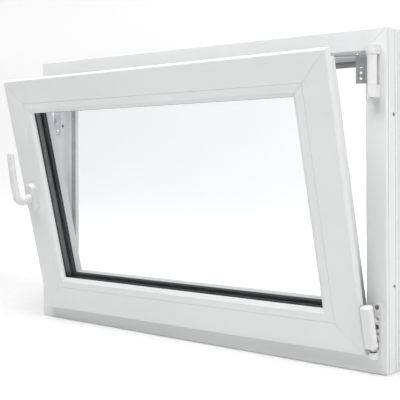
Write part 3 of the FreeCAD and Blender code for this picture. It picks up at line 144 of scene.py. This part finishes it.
def metal(name, light, dark, roughness, brushed_along=None, spots=60.0):
    """Plated steel or aluminium with stains and fine brushing."""
    material, tree, shader, _ = new_material(name)
    stain = noise(tree, object_point(tree), spots, 4.0)
    tree.links.new(two_colours(tree, stain, dark, light), shader.inputs["Base Color"])
    brushing = noise(tree, object_point(tree, drawn_out(brushed_along, 0.02)), 1500.0, 3.0)
    tree.links.new(spread(tree, brushing, roughness - 0.07, roughness + 0.1), shader.inputs["Roughness"])
    bump(tree, shader, brushing, 0.00002)
    shader.inputs["Metallic"].default_value = 1.0
    return material


def rubber(name, dark, light, roughness=0.55):
    """Matt sealing rubber with a dusty bloom."""
    material, tree, shader, _ = new_material(name)
    bloom = noise(tree, object_point(tree), 70.0, 4.0)
    tree.links.new(two_colours(tree, bloom, dark, light), shader.inputs["Base Color"])
    pores = noise(tree, object_point(tree), 1800.0, 2.0)
    tree.links.new(spread(tree, pores, roughness - 0.06, roughness + 0.08), shader.inputs["Roughness"])
    bump(tree, shader, pores, 0.00003)
    return material


def window_glass(name):
    """Clear float glass: see-through head on, more of a mirror at a glancing look."""
    glance_power = 5.0
    least_mirror = 0.012
    material, tree, shader, output = new_material(name)
    shader.inputs["Base Color"].default_value = (0.9, 0.93, 0.92, 1.0)
    shader.inputs["Metallic"].default_value = 1.0
    smear = noise(tree, object_point(tree), 6.0, 3.0)
    tree.links.new(spread(tree, smear, 0.02, 0.05), shader.inputs["Roughness"])
    clear = tree.nodes.new("ShaderNodeBsdfTransparent")
    tint = two_colours(tree, smear, (0.976, 0.98, 0.982), (0.982, 0.985, 0.987))
    tree.links.new(tint, clear.inputs["Color"])
    facing = tree.nodes.new("ShaderNodeLayerWeight")
    facing.inputs["Blend"].default_value = 0.28
    glance = tree.nodes.new("ShaderNodeMath")
    glance.operation = "POWER"
    glance.inputs[1].default_value = glance_power
    tree.links.new(facing.outputs["Facing"], glance.inputs[0])
    share = tree.nodes.new("ShaderNodeMapRange")
    share.inputs["To Min"].default_value = least_mirror
    share.inputs["To Max"].default_value = 1.0
    tree.links.new(glance.outputs["Value"], share.inputs["Value"])
    mix = tree.nodes.new("ShaderNodeMixShader")
    tree.links.new(share.outputs["Result"], mix.inputs["Fac"])
    tree.links.new(clear.outputs["BSDF"], mix.inputs[1])
    tree.links.new(shader.outputs["BSDF"], mix.inputs[2])
    tree.links.new(mix.outputs["Shader"], output.inputs["Surface"])
    return material


WHITE = (0.738, 0.742, 0.744)
WHITE_SHADE = (0.713, 0.718, 0.72)

profile_across = plastic("profile_across", WHITE, WHITE_SHADE, 0.34, "X")
profile_upright = plastic("profile_upright", WHITE, WHITE_SHADE, 0.34, "Z")
cover_white = plastic("cover_white", (0.73, 0.73, 0.728), (0.70, 0.70, 0.698), 0.38, None, 0.00002)
handle_white = powder_coat("handle_white")
zinc = metal("zinc", (0.62, 0.63, 0.645), (0.46, 0.47, 0.49), 0.38, "Z")
bright_steel = metal("bright_steel", (0.68, 0.68, 0.69), (0.55, 0.55, 0.56), 0.26)
galvanised = metal("galvanised", (0.60, 0.62, 0.64), (0.42, 0.44, 0.46), 0.48, None, 140.0)
spacer_metal = metal("spacer_metal", (0.19, 0.193, 0.196), (0.14, 0.143, 0.146), 0.48)
stop_rubber = rubber("stop_rubber", (0.26, 0.26, 0.265), (0.36, 0.36, 0.365))
black_rubber = rubber("black_rubber", (0.006, 0.006, 0.0065), (0.014, 0.014, 0.015), 0.6)
packer_blue = plastic("packer_blue", (0.08, 0.20, 0.46), (0.06, 0.16, 0.40), 0.5)
black_acetal = plastic("black_acetal", (0.03, 0.03, 0.03), (0.015, 0.015, 0.015), 0.4)
glass = window_glass("glass")

SLOT_MATERIALS = {
    "white_profile": profile_across,
    "white_cover": cover_white,
    "white_handle": handle_white,
    "zinc_fittings": zinc,
    "bright_steel": bright_steel,
    "galvanised_tube": galvanised,
    "stop_seal": stop_rubber,
    "glazing_seal": black_rubber,
    "clear_glass": glass,
    "spacer_bar": spacer_metal,
    "packer_plastic": packer_blue,
    "bush_plastic": black_acetal,
}
UPRIGHTS = ("frame_left_jamb", "frame_right_jamb", "sash_left_stile", "sash_right_stile",
            "bead_left", "bead_right")


def dress(node, material):
    """Put one material on a CAD node."""
    slots = frame["nodes"][node].data.materials
    slots.clear()
    slots.append(material)


for entry in frame["record"]["subparts"]:
    dress(entry["node"], SLOT_MATERIALS[entry["material_slot"]])
for upright in UPRIGHTS:
    dress(upright, profile_upright)


# ------------------------------------------------------------------ floor and light
WINDOW_MIDDLE = Vector((0.0, 0.0, 0.3))


def mesh_object(name, points, faces, material):
    """A mesh object from points and faces."""
    mesh = bpy.data.meshes.new(name)
    mesh.from_pydata(points, [], faces)
    mesh.update()
    piece = bpy.data.objects.new(name, mesh)
    bpy.context.scene.collection.objects.link(piece)
    mesh.materials.append(material)
    return piece


def studio_paper():
    """Pale studio paper with a soft glow that grows behind the window."""
    glow_front, glow_back = 0.1, 0.6
    glow_starts_at, glow_full_at = 0.25, 0.9
    material, tree, shader, _ = new_material("studio_paper")
    fibres = noise(tree, object_point(tree), 40.0, 3.0)
    tree.links.new(two_colours(tree, fibres, (0.64, 0.64, 0.64), (0.67, 0.67, 0.67)),
                   shader.inputs["Base Color"])
    shader.inputs["Roughness"].default_value = 0.95
    shader.inputs["Specular IOR Level"].default_value = 0.1
    shader.inputs["Emission Color"].default_value = (1.0, 1.0, 1.0, 1.0)
    place = tree.nodes.new("ShaderNodeSeparateXYZ")
    tree.links.new(object_point(tree), place.inputs["Vector"])
    glow = spread(tree, place.outputs["Y"], glow_front, glow_back, glow_starts_at, glow_full_at)
    tree.links.new(glow, shader.inputs["Emission Strength"])
    return material


def studio_floor():
    """Pale floor that curves up into a backdrop behind the window."""
    half_width, front, turn, radius, height = 16.0, -14.0, 3.2, 1.8, 7.0
    gap = 0.0005
    steps = 24
    profile = [(front, 0.0)]
    for step in range(steps + 1):
        angle = step / steps * math.pi / 2.0
        profile.append((turn + radius * math.sin(angle), radius - radius * math.cos(angle)))
    profile.append((turn + radius, height))
    points = []
    for depth, lift in profile:
        points.append((-half_width, depth, lift - gap))
        points.append((half_width, depth, lift - gap))
    faces = [(2 * i, 2 * i + 1, 2 * i + 3, 2 * i + 2) for i in range(len(profile) - 1)]
    floor = mesh_object("studio_floor", points, faces, studio_paper())
    for face in floor.data.polygons:
        face.use_smooth = True


def soft_light(name, place, width, height, power):
    """White rectangular soft light aimed at the middle of the window."""
    data = bpy.data.lights.new(name, "AREA")
    data.shape = "RECTANGLE"
    data.size = width
    data.size_y = height
    data.energy = power
    lamp = bpy.data.objects.new(name, data)
    lamp.location = place
    aim = WINDOW_MIDDLE - Vector(place)
    lamp.rotation_euler = aim.to_track_quat("-Z", "Y").to_euler()
    bpy.context.scene.collection.objects.link(lamp)


def white_surroundings(strength):
    """Even white light from all round."""
    world = bpy.data.worlds.new("studio")
    world.use_nodes = True
    background = world.node_tree.nodes["Background"]
    background.inputs["Color"].default_value = (1.0, 1.0, 1.0, 1.0)
    background.inputs["Strength"].default_value = strength
    bpy.context.scene.world = world


studio_floor()
soft_light("overhead", (0.1, -1.2, 3.1), width=2.6, height=1.6, power=134.0)
soft_light("side_right", (3.4, -0.6, 1.3), width=1.8, height=1.8, power=32.0)
white_surroundings(0.28)
bpy.context.scene.view_settings.view_transform = "Standard"

# ------------------------------------------------------------------ camera
# It stands to the right of the window, at about two thirds of its height, and looks level.
EYE = Vector((1.1276, -1.3587, 0.3814))
HEADING_DEG = 39.41
ROLL_DEG = -0.22
SENSOR_MM = 36.0
FOCAL_MM = 76.4
SHIFT_Y = -0.114


def add_camera():
    """Level camera; the picture is shifted instead of tilting the camera."""
    data = bpy.data.cameras.new("camera")
    data.sensor_width = SENSOR_MM
    data.lens = FOCAL_MM
    data.shift_y = SHIFT_Y
    data.clip_end = 100.0
    camera = bpy.data.objects.new("camera", data)
    bpy.context.scene.collection.objects.link(camera)
    turn = Matrix.Rotation(math.radians(HEADING_DEG), 4, "Z")
    level = Matrix.Rotation(math.radians(90.0), 4, "X")
    roll = Matrix.Rotation(math.radians(ROLL_DEG), 4, "Z")
    camera.matrix_world = Matrix.Translation(EYE) @ turn @ level @ roll
    bpy.context.scene.camera = camera


add_camera()
